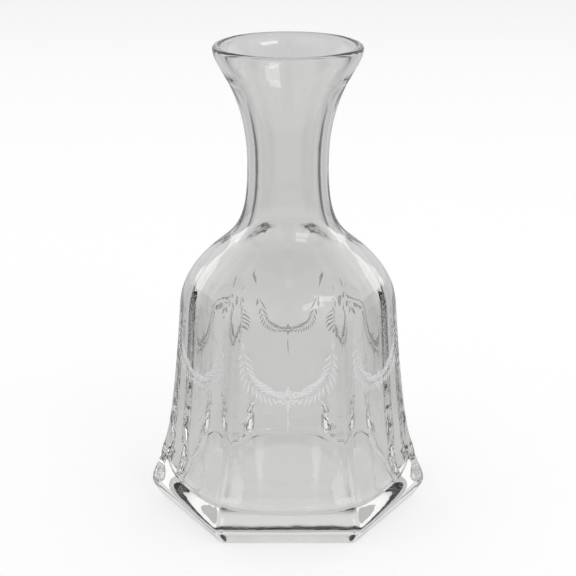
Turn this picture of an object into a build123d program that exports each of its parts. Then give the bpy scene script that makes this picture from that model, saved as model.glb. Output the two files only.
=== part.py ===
"""A panel-cut glass decanter for wine: a hexagonal foot and a bell-shaped body, whose panels
fade out over the shoulder, then a round waisted neck and a flared lip. It has no stopper, and
nothing on it moves.

Millimetres, +Z up. The origin is the middle of the underside, where the decanter stands. An
arris (the edge between two panels) points along +X and another along -X, and a panel faces -Y.

The real decanter is one vessel of blown and cut glass. It is modelled as its five regions, ring
on ring and face to face, so that each can be named, weighed and given its own collision.
"""

import os

from build123d import *

# --- heights, from the table up -------------------------------------------------------------
FOOT_EDGE_HEIGHT = 10.0
FOOT_HEIGHT = 30.0
BODY_HEIGHT = 80.0
SHOULDER_BEND_HEIGHT = 36.0
SHOULDER_HEIGHT = 50.0
SHOULDER_TO_WAIST_HEIGHT = 41.5
WAIST_TO_COLLAR_HEIGHT = 45.5
LIP_HEIGHT = 17.0

# --- outside, from the axis to an arris -----------------------------------------------------
UNDERSIDE_RADIUS = 68.7
FOOT_EDGE_RADIUS = 74.3
FOOT_TOP_RADIUS = 68.1
BODY_TOP_RADIUS = 57.5
SHOULDER_BEND_RADIUS = 35.7
WAIST_RADIUS = 21.1
NECK_TOP_RADIUS = 31.7
LIP_RADIUS = 38.6
COLLAR_STEP = 0.25

# --- the hollow: its floor, and the glass thickness behind an arris --------------------------
FLOOR_THICKNESS = 13.0
FLOOR_RADIUS = 58.0
FLOOR_ROUND = 4.0
BODY_WALL = 8.5
SHOULDER_WALL = 9.4
WAIST_WALL = 5.4
NECK_TOP_WALL = 4.6
LIP_WALL = 4.1

# --- the middle of a panel, as a share of the radius to the arris ---------------------------
# Sharp corners need 0.866, more than that blunts them, and above 1 the glass is round.
ROUND = 1.0
PAST_ROUND = 1.04
FOOT_CUT = 0.873
BODY_CUT = 0.92
FLOOR_CUT = 0.975
HOLLOW_CUT = 0.955

# --- the two handles of each curve, as (share of its height, share of its radius) -----------
FOOT_UNDERCUT = [(0.50, 0.66), (0.75, 1.00)]
FOOT_SLOPE = [(0.25, 0.00), (0.38, 0.52)]
BODY_FLARE = [(0.03, 0.05), (0.07, 0.51)]
SHOULDER_DOME = [(0.27, 0.03), (0.60, 0.12)]
SHOULDER_HOLLOW = [(0.18, 0.68), (0.36, 1.00)]
NECK_FLARE = [(0.62, 0.00), (0.92, 0.87)]
COLLAR_FLARE = [(0.35, 0.36), (0.70, 1.00)]
QUARTER_ROUND = [(0.55, 0.00), (1.00, 0.45)]
FLOOR_CORNER = [(0.00, 0.55), (0.45, 1.00)]
BODY_INSIDE = [(0.03, 0.30), (0.12, 0.55)]
SHOULDER_INSIDE = [(0.30, 0.03), (0.50, 0.20)]
THROAT_INSIDE = [(0.16, 0.62), (0.40, 1.00)]
MOUTH_INSIDE = [(0.38, 0.42), (0.75, 0.93)]

# --- levels ---------------------------------------------------------------------------------
foot_top = FOOT_HEIGHT
body_top = foot_top + BODY_HEIGHT
shoulder_bend = body_top + SHOULDER_BEND_HEIGHT
shoulder_top = body_top + SHOULDER_HEIGHT
waist = shoulder_bend + SHOULDER_TO_WAIST_HEIGHT
neck_top = waist + WAIST_TO_COLLAR_HEIGHT
lip_top = neck_top + LIP_HEIGHT
lip_round = LIP_WALL / 2
lip_edge = lip_top - lip_round
beyond = FOOT_EDGE_RADIUS + LIP_RADIUS


def bend(low, high, handles):
    """The four control points of a curve between two (radius, height) points."""
    inner = [
        (low[0] + across * (high[0] - low[0]), low[1] + up * (high[1] - low[1]))
        for up, across in handles
    ]
    return [low, *inner, high]


def outer_stretches(foot_cut, body_cut, shoulder_cut):
    """The outside from the table to the shoulder's bend, each level's radius times its cut."""
    underside = (UNDERSIDE_RADIUS * foot_cut, 0)
    foot_edge = (FOOT_EDGE_RADIUS * foot_cut, FOOT_EDGE_HEIGHT)
    foot = (FOOT_TOP_RADIUS * foot_cut, foot_top)
    body = (BODY_TOP_RADIUS * body_cut, body_top)
    shoulder = (SHOULDER_BEND_RADIUS * shoulder_cut, shoulder_bend)
    return [
        bend(underside, foot_edge, FOOT_UNDERCUT),
        bend(foot_edge, foot, FOOT_SLOPE),
        bend(foot, body, BODY_FLARE),
        bend(body, shoulder, SHOULDER_DOME),
    ]


def inner_stretches(floor_cut, hollow_cut, shoulder_cut):
    """The hollow from its floor to the shoulder's bend, each radius times its cut."""
    floor = ((FLOOR_RADIUS - FLOOR_ROUND) * floor_cut, FLOOR_THICKNESS)
    floor_edge = (FLOOR_RADIUS * floor_cut, FLOOR_THICKNESS + FLOOR_ROUND)
    body = ((BODY_TOP_RADIUS - BODY_WALL) * hollow_cut, body_top)
    shoulder = ((SHOULDER_BEND_RADIUS - SHOULDER_WALL) * shoulder_cut, shoulder_bend)
    return [
        bend(floor, floor_edge, FLOOR_CORNER),
        bend(floor_edge, body, BODY_INSIDE),
        bend(body, shoulder, SHOULDER_INSIDE),
    ]


def clear_above(stretches):
    """A panel's stretches with a last one that leads away from the round neck above them."""
    start = stretches[-1][-1]
    return [*stretches, [start, (beyond, shoulder_bend), (beyond, lip_top)]]


def outline(stretches):
    """The closed edge from the axis along the stretches, four points a curve, and back."""
    bottom = stretches[0][0]
    top = stretches[-1][-1]
    with BuildLine() as edge:
        for stretch in stretches:
            if len(stretch) == 4:
                Bezier(*stretch)
            else:
                Polyline(*stretch)
        Polyline(top, (0, top[1]), (0, bottom[1]), bottom)
    return edge.edges()


def panelled(arris, panel):
    """A round blank turned from the arris outline, cut with three pairs of facing panels."""
    with BuildPart() as blank:
        with BuildSketch(Plane.XZ):
            make_face(outline(arris))
        revolve(axis=Axis.Z)
        for pair in range(3):
            across = Vector(0, 1, 0).rotate(Axis.Z, 60 * pair)
            along = across.cross(Vector(0, 0, 1))
            with BuildSketch(Plane((0, 0, 0), x_dir=across, z_dir=along)):
                make_face(outline(panel))
                mirror(about=Plane.YZ)
            extrude(amount=beyond, both=True, mode=Mode.INTERSECT)
    return blank.part


# --- the whole glass: the outside, and the hollow to take out of it --------------------------
shoulder_edge = (SHOULDER_BEND_RADIUS, shoulder_bend)
throat_edge = (SHOULDER_BEND_RADIUS - SHOULDER_WALL, shoulder_bend)
waist_edge = (WAIST_RADIUS, waist)
bore_edge = (WAIST_RADIUS - WAIST_WALL, waist)
neck_edge = (NECK_TOP_RADIUS, neck_top)
flare_edge = (NECK_TOP_RADIUS - NECK_TOP_WALL, neck_top)
collar_foot = (NECK_TOP_RADIUS + COLLAR_STEP, neck_top)
collar_edge = (LIP_RADIUS, lip_edge)
mouth_edge = (LIP_RADIUS - LIP_WALL, lip_edge)
crown = (LIP_RADIUS - lip_round, lip_top)

neck_outside = [
    bend(shoulder_edge, waist_edge, SHOULDER_HOLLOW),
    bend(waist_edge, neck_edge, NECK_FLARE),
    [neck_edge, collar_foot],
    bend(collar_foot, collar_edge, COLLAR_FLARE),
    bend(collar_edge, crown, QUARTER_ROUND),
]
neck_inside = [
    bend(throat_edge, bore_edge, THROAT_INSIDE),
    bend(bore_edge, flare_edge, NECK_FLARE),
    bend(flare_edge, mouth_edge, MOUTH_INSIDE),
    bend(mouth_edge, crown, QUARTER_ROUND),
]

outside = panelled(
    outer_stretches(ROUND, ROUND, ROUND) + neck_outside,
    clear_above(outer_stretches(FOOT_CUT, BODY_CUT, PAST_ROUND)),
)
hollow = panelled(
    inner_stretches(ROUND, ROUND, ROUND) + neck_inside,
    clear_above(inner_stretches(FLOOR_CUT, HOLLOW_CUT, PAST_ROUND)),
)

# --- the five regions -----------------------------------------------------------------------


def region(name, low, high):
    """The glass between two levels, as a closed ring or, for the foot, a cup."""
    with BuildPart() as ring:
        add(outside)
        add(hollow, mode=Mode.SUBTRACT)
        with BuildSketch(Plane.XY.offset(low)):
            Circle(beyond)
        extrude(amount=high - low, mode=Mode.INTERSECT)
    ring.part.label = name
    export_step(ring.part, f"parts/{name}.step")


os.makedirs("parts", exist_ok=True)
region("foot", 0, foot_top)
region("body", foot_top, body_top)
region("shoulder", body_top, shoulder_top)
region("neck", shoulder_top, neck_top)
region("lip", neck_top, lip_top)
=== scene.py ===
"""Wine decanter of clear cut glass, engraved with a leaf garland on each of its six panels.

The glass is one closed mesh built ring by ring from the same curves as the CAD model, and it
stands for all five CAD regions, so that no inner boundary shows through it. The vessel's lengths
are in millimetres until its mesh is made; the mesh, the floor, the lights and the camera are in
metres. Angles go round +Z, and a panel faces -Y.
"""

import math

import bpy
import numpy as np
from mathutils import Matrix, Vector
from mathutils.geometry import delaunay_2d_cdt


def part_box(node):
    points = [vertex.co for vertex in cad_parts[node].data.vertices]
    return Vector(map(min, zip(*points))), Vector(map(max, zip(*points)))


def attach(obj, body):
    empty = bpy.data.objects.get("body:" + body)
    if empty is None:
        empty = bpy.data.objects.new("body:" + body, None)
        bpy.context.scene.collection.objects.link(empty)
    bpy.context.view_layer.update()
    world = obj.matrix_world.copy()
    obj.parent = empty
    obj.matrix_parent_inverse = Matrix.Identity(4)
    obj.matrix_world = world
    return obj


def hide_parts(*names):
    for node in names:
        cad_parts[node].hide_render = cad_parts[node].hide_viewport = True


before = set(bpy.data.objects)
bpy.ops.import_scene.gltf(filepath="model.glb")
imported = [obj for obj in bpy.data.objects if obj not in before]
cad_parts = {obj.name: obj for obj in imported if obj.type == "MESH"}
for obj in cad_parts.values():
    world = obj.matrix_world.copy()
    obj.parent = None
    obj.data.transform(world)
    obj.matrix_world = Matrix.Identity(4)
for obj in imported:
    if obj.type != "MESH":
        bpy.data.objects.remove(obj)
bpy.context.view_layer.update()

MM = 0.001
SIDES = 6
HALF_PANEL = math.pi / SIDES

# --- levels and radii, from the CAD rings ---------------------------------------------------


def ring_size(node):
    """A ring's top level and the largest radius to its arris, in millimetres."""
    _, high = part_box(node)
    return high[2] / MM, high[0] / MM


FOOT_TOP, FOOT_EDGE_RADIUS = ring_size("foot")
BODY_TOP, FOOT_TOP_RADIUS = ring_size("body")
_, BODY_TOP_RADIUS = ring_size("shoulder")
NECK_TOP, NECK_TOP_RADIUS = ring_size("neck")
LIP_TOP, LIP_RADIUS = ring_size("lip")

# --- the rest of the section, as in the CAD model -------------------------------------------
UNDERSIDE_RADIUS = 68.7
FOOT_EDGE_HEIGHT = 10.0
SHOULDER_BEND = BODY_TOP + 36.0
SHOULDER_BEND_RADIUS = 35.7
WAIST = SHOULDER_BEND + 41.5
WAIST_RADIUS = 21.1
COLLAR_STEP = 0.25

FLOOR_THICKNESS = 13.0
FLOOR_RADIUS = 58.0
BODY_WALL = 8.5
SHOULDER_WALL = 9.4
WAIST_WALL = 5.4
NECK_TOP_WALL = 4.6
LIP_WALL = 4.1
FLOOR_ROUND = 4.0

# Levels, and the middle of a panel as a share of the arris radius there.
OUTER_CUTS = [(0, 0.871), (24, 0.872), (50, 0.905), (112, 0.92), (152, 1.0)]
INNER_CUTS = [(13, 0.975), (50, 0.957), (97, 0.955), (148, 1.0)]

# The two handles of each curve, as shares of its rise and of its change of radius.
FOOT_UNDERCUT = [(0.50, 0.66), (0.75, 1.00)]
FOOT_SLOPE = [(0.25, 0.00), (0.38, 0.52)]
BODY_FLARE = [(0.03, 0.05), (0.07, 0.51)]
SHOULDER_DOME = [(0.27, 0.03), (0.60, 0.12)]
SHOULDER_HOLLOW = [(0.18, 0.68), (0.36, 1.00)]
NECK_FLARE = [(0.62, 0.00), (0.92, 0.87)]
COLLAR_FLARE = [(0.35, 0.36), (0.70, 1.00)]
QUARTER_ROUND = [(0.55, 0.00), (1.00, 0.45)]
FLOOR_CORNER = [(0.00, 0.55), (0.45, 1.00)]
BODY_INSIDE = [(0.03, 0.30), (0.12, 0.55)]
SHOULDER_INSIDE = [(0.30, 0.03), (0.50, 0.20)]
THROAT_INSIDE = [(0.16, 0.62), (0.40, 1.00)]
MOUTH_INSIDE = [(0.38, 0.42), (0.75, 0.93)]

# --- mesh density ---------------------------------------------------------------------------
PANEL_STEPS = 14
CORNER_STEPS = 12
CORNER_CROWDING = 1.7
PANEL_ANGLE = math.radians(28)


def stretch(low, high, handles, steps):
    """Stations (level, arris radius) on a curve, its top end left out."""
    ends = np.array([low, low, low, high], float)
    for row, share in zip((1, 2), handles):
        ends[row] += np.array(share) * (ends[3] - ends[0])
    t = np.linspace(0, 1, steps, endpoint=False)[:, None]
    weights = ((1 - t) ** 3, 3 * (1 - t) ** 2 * t, 3 * (1 - t) * t**2, t**3)
    return sum(weight * end for weight, end in zip(weights, ends))


def eased(levels, knots):
    """Values at the levels, easing from one (level, value) knot to the next."""
    heights, values = np.array(knots, float).T
    place = np.interp(levels, heights, np.arange(len(knots)))
    whole = np.floor(place)
    share = place - whole
    return np.interp(whole + share * share * (3 - 2 * share), np.arange(len(knots)), values)


def chain(knots, bends, cuts):
    """Stations (level, arris radius, panel radius) through all the knots."""
    pieces = [
        stretch(low, high, handles, steps)
        for low, high, (handles, steps) in zip(knots, knots[1:], bends)
    ]
    levels, radii = np.vstack([*pieces, [knots[-1]]]).T
    return np.column_stack([levels, radii, radii * eased(levels, cuts)])


def outer_stations():
    """The outside from the underside's edge to the foot of the collar."""
    knots = [
        (0.0, UNDERSIDE_RADIUS),
        (FOOT_EDGE_HEIGHT, FOOT_EDGE_RADIUS),
        (FOOT_TOP, FOOT_TOP_RADIUS),
        (BODY_TOP, BODY_TOP_RADIUS),
        (SHOULDER_BEND, SHOULDER_BEND_RADIUS),
        (WAIST, WAIST_RADIUS),
        (NECK_TOP, NECK_TOP_RADIUS),
    ]
    bends = [
        (FOOT_UNDERCUT, 9),
        (FOOT_SLOPE, 12),
        (BODY_FLARE, 30),
        (SHOULDER_DOME, 22),
        (SHOULDER_HOLLOW, 20),
        (NECK_FLARE, 20),
    ]
    return chain(knots, bends, OUTER_CUTS)


def collar_stations():
    """The round collar and the outer half of the bead, up to the crown."""
    knots = [
        (NECK_TOP, NECK_TOP_RADIUS + COLLAR_STEP),
        (LIP_TOP - LIP_WALL / 2, LIP_RADIUS),
        (LIP_TOP, LIP_RADIUS - LIP_WALL / 2),
    ]
    return chain(knots, [(COLLAR_FLARE, 14), (QUARTER_ROUND, 6)], OUTER_CUTS)


def inner_stations():
    """The hollow, from the edge of its floor up to the crown."""
    knots = [
        (FLOOR_THICKNESS, FLOOR_RADIUS - FLOOR_ROUND),
        (FLOOR_THICKNESS + FLOOR_ROUND, FLOOR_RADIUS),
        (BODY_TOP, BODY_TOP_RADIUS - BODY_WALL),
        (SHOULDER_BEND, SHOULDER_BEND_RADIUS - SHOULDER_WALL),
        (WAIST, WAIST_RADIUS - WAIST_WALL),
        (NECK_TOP, NECK_TOP_RADIUS - NECK_TOP_WALL),
        (LIP_TOP - LIP_WALL / 2, LIP_RADIUS - LIP_WALL),
        (LIP_TOP, LIP_RADIUS - LIP_WALL / 2),
    ]
    bends = [
        (FLOOR_CORNER, 10),
        (BODY_INSIDE, 30),
        (SHOULDER_INSIDE, 22),
        (THROAT_INSIDE, 20),
        (NECK_FLARE, 20),
        (MOUTH_INSIDE, 12),
        (QUARTER_ROUND, 6),
    ]
    return chain(knots, bends, INNER_CUTS)


# --- plan sections --------------------------------------------------------------------------
ROUND_POWER = 4.0
SHARPEST_POWER = 200
POWERS_TRIED = 400


def lobes(angles, power):
    """Six cosine lobes, one for each panel: level all round at power 4, then more hexagonal."""
    total = 0
    for side in range(SIDES):
        facing = np.cos(angles + math.pi / 2 - 2 * HALF_PANEL * side)
        total = total + np.maximum(facing, 0) ** power
    return total


def squareness(cut):
    """The power that brings the middle of a panel to this share of the arris radius."""
    powers = np.geomspace(ROUND_POWER, SHARPEST_POWER, POWERS_TRIED)
    middle, arris = lobes(-math.pi / 2, powers), lobes(0.0, powers)
    shares = (arris / middle) ** (1 / powers)
    return np.interp(-np.asarray(cut), -shares, powers)


def section(arris, panel, angles):
    """How far a round-cornered hexagon lies from the axis in each direction."""
    power = squareness(panel / arris)
    return arris * (lobes(0.0, power) / lobes(angles, power)) ** (1 / power)


def ring_directions():
    """Directions of a ring's points: evenly along each panel, and closer towards each arris."""
    along = np.arctan(np.linspace(-1, 1, PANEL_STEPS + 1) * math.tan(PANEL_ANGLE))
    spread = np.linspace(-1, 1, CORNER_STEPS + 1)[1:-1]
    crowded = np.sign(spread) * np.abs(spread) ** CORNER_CROWDING
    side = np.concatenate([along, HALF_PANEL + (HALF_PANEL - PANEL_ANGLE) * crowded])
    return np.concatenate([side + 2 * HALF_PANEL * n - math.pi / 2 for n in range(SIDES)])


def surface(stations, angles):
    """A grid of 3-D points: one row for each station, one column for each direction."""
    rows = []
    for level, arris, panel in stations:
        radius = section(arris, panel, angles)
        height = np.full(len(angles), level)
        rows.append(np.column_stack([radius * np.cos(angles), radius * np.sin(angles), height]))
    return np.array(rows)


def grid_normals(grid):
    """Unit normals of a grid that closes on itself along each row."""
    around = np.roll(grid, -1, axis=1) - np.roll(grid, 1, axis=1)
    up = np.gradient(grid, axis=0)
    normal = np.cross(around, up)
    return normal / np.linalg.norm(normal, axis=2, keepdims=True)


# --- the mesh builder -----------------------------------------------------------------------
POLISHED = 0
FROSTED = 1


class Glass:
    """Collects faces with a normal for each corner, sharing points that coincide."""

    def __init__(self):
        self.points = []
        self.index = {}
        self.faces = []
        self.normals = []
        self.slots = []

    def point(self, place):
        """The number of the point here, a new one if there is none yet."""
        key = tuple(np.round(np.asarray(place, float), 4) + 0.0)
        if key not in self.index:
            self.index[key] = len(self.points)
            self.points.append(key)
        return self.index[key]

    def face(self, places, normals, slot=POLISHED):
        """One face, without the corners that coincide with their neighbour."""
        corners = [self.point(place) for place in places]
        kept = [n for n, corner in enumerate(corners) if corner != corners[n - 1]]
        if len(kept) < 3:
            return
        self.faces.append([corners[n] for n in kept])
        self.normals.extend(tuple(normals[n]) for n in kept)
        self.slots.append(slot)

    def grid(self, grid, skip=None):
        """Quads between the rows, facing away from the axis when the rows go up."""
        normals = grid_normals(grid)
        rows, columns = grid.shape[:2]
        for row in range(rows - 1):
            for column in range(columns):
                if skip is not None and skip(row, column):
                    continue
                after = (column + 1) % columns
                corners = [(row, column), (row, after), (row + 1, after), (row + 1, column)]
                self.face([grid[c] for c in corners], [normals[c] for c in corners])

    def cap(self, ring, up):
        """A flat face over a ring, facing up or down."""
        order = list(ring) if up else list(ring)[::-1]
        self.face(order, [(0, 0, 1 if up else -1)] * len(order))

    def build(self, name, materials):
        """The object, in metres, with one material for each slot."""
        mesh = bpy.data.meshes.new(name)
        mesh.from_pydata([Vector(p) * MM for p in self.points], [], self.faces)
        for material in materials:
            mesh.materials.append(material)
        mesh.polygons.foreach_set("material_index", self.slots)
        mesh.polygons.foreach_set("use_smooth", [True] * len(self.faces))
        mesh.normals_split_custom_set(self.normals)
        piece = bpy.data.objects.new(name, mesh)
        bpy.context.scene.collection.objects.link(piece)
        return piece


# --- the engraved garland -------------------------------------------------------------------
ENGRAVED_LOW = 50.0
ENGRAVED_HIGH = 114.0
GARLAND_SPAN = 22.6
GARLAND_TOP = 103.5
GARLAND_LOW = 78.4
GARLAND_SQUARENESS = 2.35

# A cut's outline as (share of its length, share of its half width), and how steep its sides are.
CUT_SHAPE = [(0.0, 0.0), (0.22, 0.72), (0.5, 1.0), (0.8, 0.6), (1.0, 0.0)]
CUT_SLOPE = 0.6
CUT_MARGIN = 0.3
LEAST_DEPTH = 1e-3

# How the triangulation fills the panel, and how near two points are to be one.
FILL_HULL = 0
MERGE_DISTANCE = 1e-5

# A panel's surface is found by turning towards each point, and its normals from a short step.
TURN_ROUNDS = 12
NORMAL_STEP = 0.05

# Leaves are placed by their share of the branch, and are longest in its middle.
LEAF_PAIRS = 13
FIRST_LEAF = 0.02
LEAF_RUN = 0.86
COURSE_STEP = 0.02
LEAF_LENGTH = 9.6
SHORTEST_LEAF = 0.62
SWELL_PACE = 1.15
OUTER_LEAF = 0.8
LEAF_START = 0.35
LEAF_HALF_WIDTH = 0.56
LEAF_SPLAY = math.radians(41)

# Each leaf sways a little from its regular place, by its pair and its side.
LEAF_SWAY = 0.06
SWAY_BY_PAIR = 7.3
SWAY_BY_SIDE = 2.1

# The cut above the branch's top, from its tail to its tip.
BRANCH_END = [(0, 0.4), (0, 5.2)]

# The flower's rays, the sideways ones longer than the rest.
FLOWER_RAYS = 12
RAY_START = 0.5
RAY_LENGTH = 5.0
SIDE_RAY_EXTRA = 4.4
SIDE_RAY_FOCUS = 6
RAY_HALF_WIDTH = 0.5

# The upright cuts, as (start, end, half width): the bud above the centre, and the pendant's two.
UPRIGHT_CUTS = [(1.0, 7.4, 0.95), (-1.0, -8.0, 0.65), (-8.6, -18.0, 0.42)]


class Stroke:
    """One V-shaped cut of the wheel, from tail to tip, widest in the middle."""

    def __init__(self, tail, tip, half_width):
        self.tail = np.array(tail, float)
        self.length = math.dist(tail, tip)
        self.along = (np.array(tip, float) - self.tail) / self.length
        self.across = np.array([-self.along[1], self.along[0]])
        self.half_width = half_width

    def outline(self):
        """The points round the cut, then those along its bottom, and the edges between them."""
        inner = CUT_SHAPE[1:-1]
        left = [self.place(share, wide) for share, wide in inner]
        right = [self.place(share, -wide) for share, wide in inner[::-1]]
        loop = [self.place(0, 0), *left, self.place(1, 0), *right]
        keel = [self.place(share, 0) for share, _ in inner]
        count = len(loop)
        line = [0, *range(count, count + len(keel)), len(left) + 1]
        edges = [(n, (n + 1) % count) for n in range(count)] + list(zip(line, line[1:]))
        return loop + keel, edges

    def place(self, share, wide):
        """A point of the cut, by its share of the length and of the half width."""
        return self.tail + self.along * self.length * share + self.across * self.half_width * wide

    def mirrored(self):
        """The same cut on the other side of the panel's middle."""
        tip = self.tail + self.along * self.length
        return Stroke(self.tail * (-1, 1), tip * (-1, 1), self.half_width)

    def depth(self, points, margin=0.0):
        """How deep the cut is under each point; with a margin, more than 0 also just beside it."""
        offset = points - self.tail
        share = offset @ self.along / self.length
        shares, widths = zip(*CUT_SHAPE)
        half = np.interp(share, shares, widths) * self.half_width + margin
        beyond = margin / self.length
        inside = (share >= -beyond) & (share <= 1 + beyond)
        return np.where(inside, np.maximum(half - np.abs(offset @ self.across), 0) * CUT_SLOPE, 0)


def turned(direction, angle):
    """A direction on the panel, turned anticlockwise."""
    x, y = direction
    cosine, sine = math.cos(angle), math.sin(angle)
    return np.array([cosine * x - sine * y, sine * x + cosine * y])


def garland_point(share):
    """The stem of the left branch, from its top at 0 to the flower at 1, as (across, level)."""
    angle = share * math.pi / 2
    power = 2 / GARLAND_SQUARENESS
    across = -GARLAND_SPAN * math.cos(angle) ** power
    return np.array([across, GARLAND_TOP - (GARLAND_TOP - GARLAND_LOW) * math.sin(angle) ** power])


def branch():
    """The strokes of the left branch: its leaves in pairs, and the cut that ends it at the top."""
    strokes = []
    for pair in range(LEAF_PAIRS):
        share = FIRST_LEAF + LEAF_RUN * pair / (LEAF_PAIRS - 1)
        place = garland_point(share)
        before, after = max(share - COURSE_STEP, 0), share + COURSE_STEP
        course = garland_point(after) - garland_point(before)
        course /= np.linalg.norm(course)
        swell = math.sin(math.pi * min(share * SWELL_PACE, 1))
        fullness = SHORTEST_LEAF + (1 - SHORTEST_LEAF) * swell
        for side, size in ((1, 1.0), (-1, OUTER_LEAF)):
            sway = LEAF_SWAY * math.sin(SWAY_BY_PAIR * pair + SWAY_BY_SIDE * side)
            heading = turned(course, side * (LEAF_SPLAY + sway))
            length = LEAF_LENGTH * fullness * size * (1 + sway)
            start = place + heading * LEAF_START
            strokes.append(Stroke(start, place + heading * length, LEAF_HALF_WIDTH))
    low, high = (garland_point(0) + end for end in BRANCH_END)
    strokes.append(Stroke(low, high, LEAF_HALF_WIDTH))
    return strokes


def garland():
    """All strokes of one panel."""
    left = branch()
    return left + [stroke.mirrored() for stroke in left] + flower()


def flower():
    """The starburst where the branches meet, its bud and its pendant."""
    centre = np.array([0.0, GARLAND_LOW])
    strokes = []
    for ray in range(FLOWER_RAYS):
        angle = math.tau * (ray + 0.5) / FLOWER_RAYS
        length = RAY_LENGTH + SIDE_RAY_EXTRA * abs(math.cos(angle)) ** SIDE_RAY_FOCUS
        heading = np.array([math.cos(angle), math.sin(angle)])
        start = centre + heading * RAY_START
        strokes.append(Stroke(start, centre + heading * length, RAY_HALF_WIDTH))
    for start, end, half_width in UPRIGHT_CUTS:
        strokes.append(Stroke(centre + (0, start), centre + (0, end), half_width))
    return strokes


def engraved_panel(net):
    """A panel's points as (across, level), their depths, its triangles, and which are in a cut."""
    bottom, right, top, left = net[0], net[1:, -1], net[-1, -2::-1], net[-2:0:-1, 0]
    border = [*bottom, *right, *top, *left]
    strokes = garland()
    inner = net[1:-1, 1:-1].reshape(-1, 2)
    near = np.max([stroke.depth(inner, CUT_MARGIN) for stroke in strokes], axis=0)
    points = [*border, *inner[near == 0]]
    edges = [(n, (n + 1) % len(border)) for n in range(len(border))]
    for stroke in strokes:
        places, lines = stroke.outline()
        edges += [(a + len(points), b + len(points)) for a, b in lines]
        points += places
    mesh = delaunay_2d_cdt([Vector(p) for p in points], edges, [], FILL_HULL, MERGE_DISTANCE)
    flat = np.array(mesh[0])
    triangles = np.array(mesh[2])

    # The triangles fill the convex hull, so those past the panel's curved sides are dropped.
    middles = flat[triangles].mean(axis=1)
    within = np.abs(middles[:, 0]) < np.interp(middles[:, 1], net[:, 0, 1], net[:, -1, 0])
    triangles, middles = triangles[within], middles[within]
    depth = np.max([stroke.depth(flat) for stroke in strokes], axis=0)
    depth[depth < LEAST_DEPTH] = 0
    cut = np.max([stroke.depth(middles) for stroke in strokes], axis=0) > LEAST_DEPTH
    return flat, depth, triangles, cut


def on_panel(stations, flat):
    """Points of the front panel's surface and their normals, for (across, level) points."""

    def place(across, level):
        arris = np.interp(level, stations[:, 0], stations[:, 1])
        panel = np.interp(level, stations[:, 0], stations[:, 2])
        turn = across / panel
        for _ in range(TURN_ROUNDS):
            turn = np.arcsin(across / section(arris, panel, turn - math.pi / 2))
        out = section(arris, panel, turn - math.pi / 2) * np.cos(turn)
        return np.column_stack([across, -out, level])

    across, level = flat.T
    sideways = place(across + NORMAL_STEP, level) - place(across - NORMAL_STEP, level)
    upwards = place(across, level + NORMAL_STEP) - place(across, level - NORMAL_STEP)
    normals = np.cross(sideways, upwards)
    return place(across, level), normals / np.linalg.norm(normals, axis=1, keepdims=True)


def add_engraved_panels(glass, stations, shell, rows):
    """All six panels with their cuts, joined to the rest of the shell along the border."""
    front = shell[rows][:, : PANEL_STEPS + 1]
    flat, depth, triangles, cut = engraved_panel(front[:, :, [0, 2]])
    places, smooth = on_panel(stations, flat)

    # The border takes the shell's own points, so that the two meet without a gap.
    border = np.concatenate([front[0], front[-1], front[:, 0], front[:, -1]])
    for corner in border:
        shade_band = np.abs(flat - corner[[0, 2]]).max(axis=1)
        places[shade_band.argmin()] = corner
    places = places - smooth * depth[:, None]
    for side in range(SIDES):
        turn = 2 * HALF_PANEL * side
        cosine, sine = math.cos(turn), math.sin(turn)
        spin = np.array([[cosine, sine, 0], [-sine, cosine, 0], [0, 0, 1]])
        spun, spun_smooth = places @ spin, smooth @ spin
        for corners, is_cut in zip(triangles, cut):
            a, b, c = spun[corners]
            facing = np.cross(b - a, c - a)
            if facing @ spun_smooth[corners[0]] < 0:
                corners, facing = corners[::-1], -facing
            if is_cut:
                facing = facing / np.linalg.norm(facing)
                glass.face(spun[corners], [facing] * 3, FROSTED)
            else:
                glass.face(spun[corners], spun_smooth[corners])


def make_vessel():
    """The whole vessel as one closed mesh, up the outside and down the hollow."""
    glass = Glass()
    angles = ring_directions()
    per_side = PANEL_STEPS + CORNER_STEPS
    outer = outer_stations()
    shell = surface(outer, angles)
    engraved = np.flatnonzero((outer[:, 0] > ENGRAVED_LOW) & (outer[:, 0] < ENGRAVED_HIGH))

    def is_engraved(row, column):
        return engraved[0] <= row < engraved[-1] and column % per_side < PANEL_STEPS

    glass.grid(shell, is_engraved)
    add_engraved_panels(glass, outer, shell, engraved)
    glass.cap(shell[0], up=False)

    lining = surface(np.vstack([collar_stations(), inner_stations()[-2::-1]]), angles)
    glass.grid(lining)
    ledge = np.array([shell[-1], lining[0]])
    for column in range(ledge.shape[1]):
        after = (column + 1) % ledge.shape[1]
        corners = [ledge[0, column], ledge[0, after], ledge[1, after], ledge[1, column]]
        glass.face(corners, [(0, 0, -1)] * 4)
    glass.cap(lining[-1], up=True)
    return glass.build("vessel", [clear_glass(), cut_glass()])


# --- materials ------------------------------------------------------------------------------
GLASS_IOR = 1.52


def grey(shade):
    """An even grey, as a colour."""
    return (shade, shade, shade, 1)


def new_material(name):
    """A material with its nodes, its links and its shader."""
    material = bpy.data.materials.new(name)
    material.use_nodes = True
    nodes = material.node_tree.nodes
    return material, nodes, material.node_tree.links, nodes["Principled BSDF"]


def math_node(nodes, links, operation, *values):
    """A Math node's output, its inputs given as numbers or as sockets."""
    node = nodes.new("ShaderNodeMath")
    node.operation = operation
    for socket, value in zip(node.inputs, values):
        if isinstance(value, (int, float)):
            socket.default_value = value
        else:
            links.new(value, socket)
    return node.outputs[0]


def map_node(nodes, links, value, start, end, limits=(0.0, 1.0)):
    """A Map Range node's output: the first limit up to the start, the second from the end on."""
    node = nodes.new("ShaderNodeMapRange")
    node.inputs["From Min"].default_value = start
    node.inputs["From Max"].default_value = end
    node.inputs["To Min"].default_value = limits[0]
    node.inputs["To Max"].default_value = limits[1]
    links.new(value, node.inputs["Value"])
    return node.outputs[0]


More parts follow.
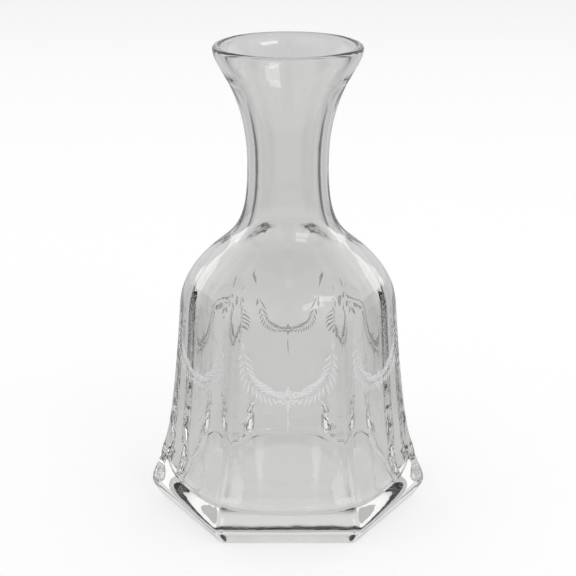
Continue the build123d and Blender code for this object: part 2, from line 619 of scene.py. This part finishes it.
def relief(nodes, links, shader, scale, distance):
    """A faint uneven relief from a noise in the object's own coordinates."""
    noise = nodes.new("ShaderNodeTexNoise")
    noise.inputs["Scale"].default_value = scale
    noise.inputs["Detail"].default_value = 2.0
    links.new(nodes.new("ShaderNodeTexCoord").outputs["Object"], noise.inputs["Vector"])
    bump = nodes.new("ShaderNodeBump")
    bump.inputs["Distance"].default_value = distance
    links.new(noise.outputs["Fac"], bump.inputs["Height"])
    links.new(bump.outputs["Normal"], shader.inputs["Normal"])
    return noise


def clear_glass():
    """Polished colourless glass, its surface faintly uneven where it was blown."""
    material, nodes, links, shader = new_material("clear_glass")
    shader.inputs["Base Color"].default_value = (0.98, 0.98, 0.975, 1)
    shader.inputs["Roughness"].default_value = 0.0
    shader.inputs["IOR"].default_value = GLASS_IOR
    shader.inputs["Transmission Weight"].default_value = 1.0
    relief(nodes, links, shader, scale=55.0, distance=0.00012)
    absorption = nodes.new("ShaderNodeVolumeAbsorption")
    absorption.inputs["Color"].default_value = (0.6, 0.6, 0.58, 1)
    absorption.inputs["Density"].default_value = 3.0
    links.new(absorption.outputs["Volume"], nodes["Material Output"].inputs["Volume"])
    return material


def cut_glass():
    """The wheel's cuts, left unpolished, so that they scatter and look white."""
    material, nodes, links, shader = new_material("cut_glass")
    shader.inputs["Base Color"].default_value = grey(1.0)
    shader.inputs["IOR"].default_value = GLASS_IOR
    shader.inputs["Transmission Weight"].default_value = 0.3
    noise = relief(nodes, links, shader, scale=2500.0, distance=0.00004)
    roughness = map_node(nodes, links, noise.outputs["Fac"], 0.0, 1.0, (0.4, 0.7))
    links.new(roughness, shader.inputs["Roughness"])
    return material


# --- the studio, in metres ------------------------------------------------------------------
FLOOR_REACH = 12.0
FLOOR_LEVEL = -0.0004

# What the glass gathers from the floor: a grey backdrop, with four bands of painted shade that
# the glass shows as dark refraction lines. Each band lies at its bearing off the X axis, to either
# side of either end, and fades in between two distances from the vessel.
BACKDROP_STRENGTH = 0.6
PAINTED_SHADE_STRENGTH = 0.12
PAINTED_SHADE_BEARING = math.radians(29)
PAINTED_SHADE_CORE = math.radians(7)
PAINTED_SHADE_EDGE = math.radians(14)
PAINTED_SHADE_START = 0.16
PAINTED_SHADE_FULL = 0.26

LIGHT_TARGET = (0, 0, 0.12)
SOFTBOX_RADIUS = 1.1
SOFTBOX_LEVEL = 1.15
SOFTBOX_SIZE = (1.6, 1.6)
SOFTBOX_POWER = 3
KEY_PLACE = (0.62, -0.85, 0.95)
KEY_SIZE = (0.6, 0.2)
KEY_POWER = 1.1

CAMERA_PLACE = (0, -0.885, 0.41375)
CAMERA_TILT = math.radians(71.62)
CAMERA_LENS = 109.9
CAMERA_SENSOR = 36.0


def backdrop_with_painted_shade(nodes, links):
    """The light that the glass gathers from the floor: grey, with the four bands of painted shade.
    """
    position = nodes.new("ShaderNodeNewGeometry").outputs["Position"]
    split = nodes.new("ShaderNodeSeparateXYZ")
    links.new(position, split.inputs[0])
    bearing = math_node(nodes, links, "ARCTAN2", split.outputs["Y"], split.outputs["X"])
    sine = math_node(nodes, links, "ABSOLUTE", math_node(nodes, links, "SINE", bearing))
    off_axis = math_node(nodes, links, "ARCSINE", sine)
    past_shade_band = math_node(nodes, links, "SUBTRACT", off_axis, PAINTED_SHADE_BEARING)
    off_shade_band = math_node(nodes, links, "ABSOLUTE", past_shade_band)
    shade_band = map_node(nodes, links, off_shade_band, PAINTED_SHADE_EDGE, PAINTED_SHADE_CORE)

    distance = nodes.new("ShaderNodeVectorMath")
    distance.operation = "LENGTH"
    links.new(position, distance.inputs[0])
    away = map_node(nodes, links, distance.outputs["Value"], PAINTED_SHADE_START, PAINTED_SHADE_FULL)

    # Painted shade: the floor's light for the glass is dimmed in four bands, seen as dark lines in
    # it.
    painted_shade = math_node(nodes, links, "MULTIPLY", shade_band, away)
    strength = map_node(nodes, links, painted_shade, 0.0, 1.0, (BACKDROP_STRENGTH, PAINTED_SHADE_STRENGTH))
    emission = nodes.new("ShaderNodeEmission")
    links.new(strength, emission.inputs["Strength"])
    return emission.outputs[0]


def floor_paint():
    """White to the eye; other rays, so what the glass gathers too, get the backdrop and painted
    shade.
    """
    material, nodes, links, shader = new_material("pale_floor")
    shader.inputs["Base Color"].default_value = grey(0.6)
    shader.inputs["Roughness"].default_value = 0.9
    shader.inputs["Specular IOR Level"].default_value = 0.1
    shader.inputs["Emission Color"].default_value = grey(1.0)
    shader.inputs["Emission Strength"].default_value = 0.58
    mix = nodes.new("ShaderNodeMixShader")
    # Only rays other than the camera's see the painted shade; the camera sees an even white floor.
    links.new(nodes.new("ShaderNodeLightPath").outputs["Is Camera Ray"], mix.inputs[0])
    links.new(backdrop_with_painted_shade(nodes, links), mix.inputs[1])
    links.new(shader.outputs[0], mix.inputs[2])
    links.new(mix.outputs[0], nodes["Material Output"].inputs["Surface"])
    return material


def make_floor():
    """A wide floor, just below the foot, so that no two surfaces lie in one plane."""
    corners = [(-1, -1), (1, -1), (1, 1), (-1, 1)]
    places = [(FLOOR_REACH * x, FLOOR_REACH * y, FLOOR_LEVEL) for x, y in corners]
    mesh = bpy.data.meshes.new("floor")
    mesh.from_pydata(places, [], [(0, 1, 2, 3)])
    mesh.materials.append(floor_paint())
    floor = bpy.data.objects.new("floor", mesh)
    bpy.context.scene.collection.objects.link(floor)


def softbox(name, place, size, power):
    """A rectangular light aimed at the vessel."""
    light = bpy.data.lights.new(name, "AREA")
    light.shape = "RECTANGLE"
    light.size, light.size_y = size
    light.energy = power
    lamp = bpy.data.objects.new(name, light)
    lamp.location = place
    aim = Vector(LIGHT_TARGET) - Vector(place)
    lamp.rotation_euler = aim.to_track_quat("-Z", "Y").to_euler()
    bpy.context.scene.collection.objects.link(lamp)


def make_lights():
    """Four large softboxes round the vessel, and a small key light in front on the right."""
    for quarter in range(4):
        turn = math.pi / 2 * (quarter + 0.5)
        x, y = SOFTBOX_RADIUS * math.cos(turn), SOFTBOX_RADIUS * math.sin(turn)
        softbox(f"softbox_{quarter + 1}", (x, y, SOFTBOX_LEVEL), SOFTBOX_SIZE, SOFTBOX_POWER)
    softbox("key_light", KEY_PLACE, KEY_SIZE, KEY_POWER)


def make_world():
    """A pale room: bright near the horizon, darker overhead."""
    world = bpy.data.worlds.new("studio")
    world.use_nodes = True
    nodes = world.node_tree.nodes
    links = world.node_tree.links
    place = nodes.new("ShaderNodeTexCoord")
    split = nodes.new("ShaderNodeSeparateXYZ")
    ramp = nodes.new("ShaderNodeValToRGB")
    links.new(place.outputs["Generated"], split.inputs[0])
    links.new(split.outputs["Z"], ramp.inputs["Fac"])
    links.new(ramp.outputs["Color"], nodes["Background"].inputs["Color"])
    stops = ramp.color_ramp.elements
    stops[0].position = 0.0
    stops[0].color = grey(1.0)
    stops[1].position = 0.85
    stops[1].color = grey(0.06)
    middle = stops.new(0.5)
    middle.color = grey(0.87)
    nodes["Background"].inputs["Strength"].default_value = 0.93
    bpy.context.scene.world = world


def make_camera():
    """A long lens in front, looking 18 degrees down at the middle of the vessel."""
    data = bpy.data.cameras.new("camera")
    data.sensor_width = CAMERA_SENSOR
    data.lens = CAMERA_LENS
    camera = bpy.data.objects.new("camera", data)
    camera.location = CAMERA_PLACE
    camera.rotation_euler = (CAMERA_TILT, 0, 0)
    bpy.context.scene.collection.objects.link(camera)
    bpy.context.scene.camera = camera


vessel = make_vessel()
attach(vessel, "root")
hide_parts("foot", "body", "shoulder", "neck", "lip")

make_floor()
make_world()
make_lights()
make_camera()

scene = bpy.context.scene
scene.view_settings.view_transform = "Standard"
scene.cycles.max_bounces = 32
scene.cycles.transmission_bounces = 28
scene.cycles.glossy_bounces = 12
scene.cycles.caustics_refractive = True
scene.cycles.caustics_reflective = True
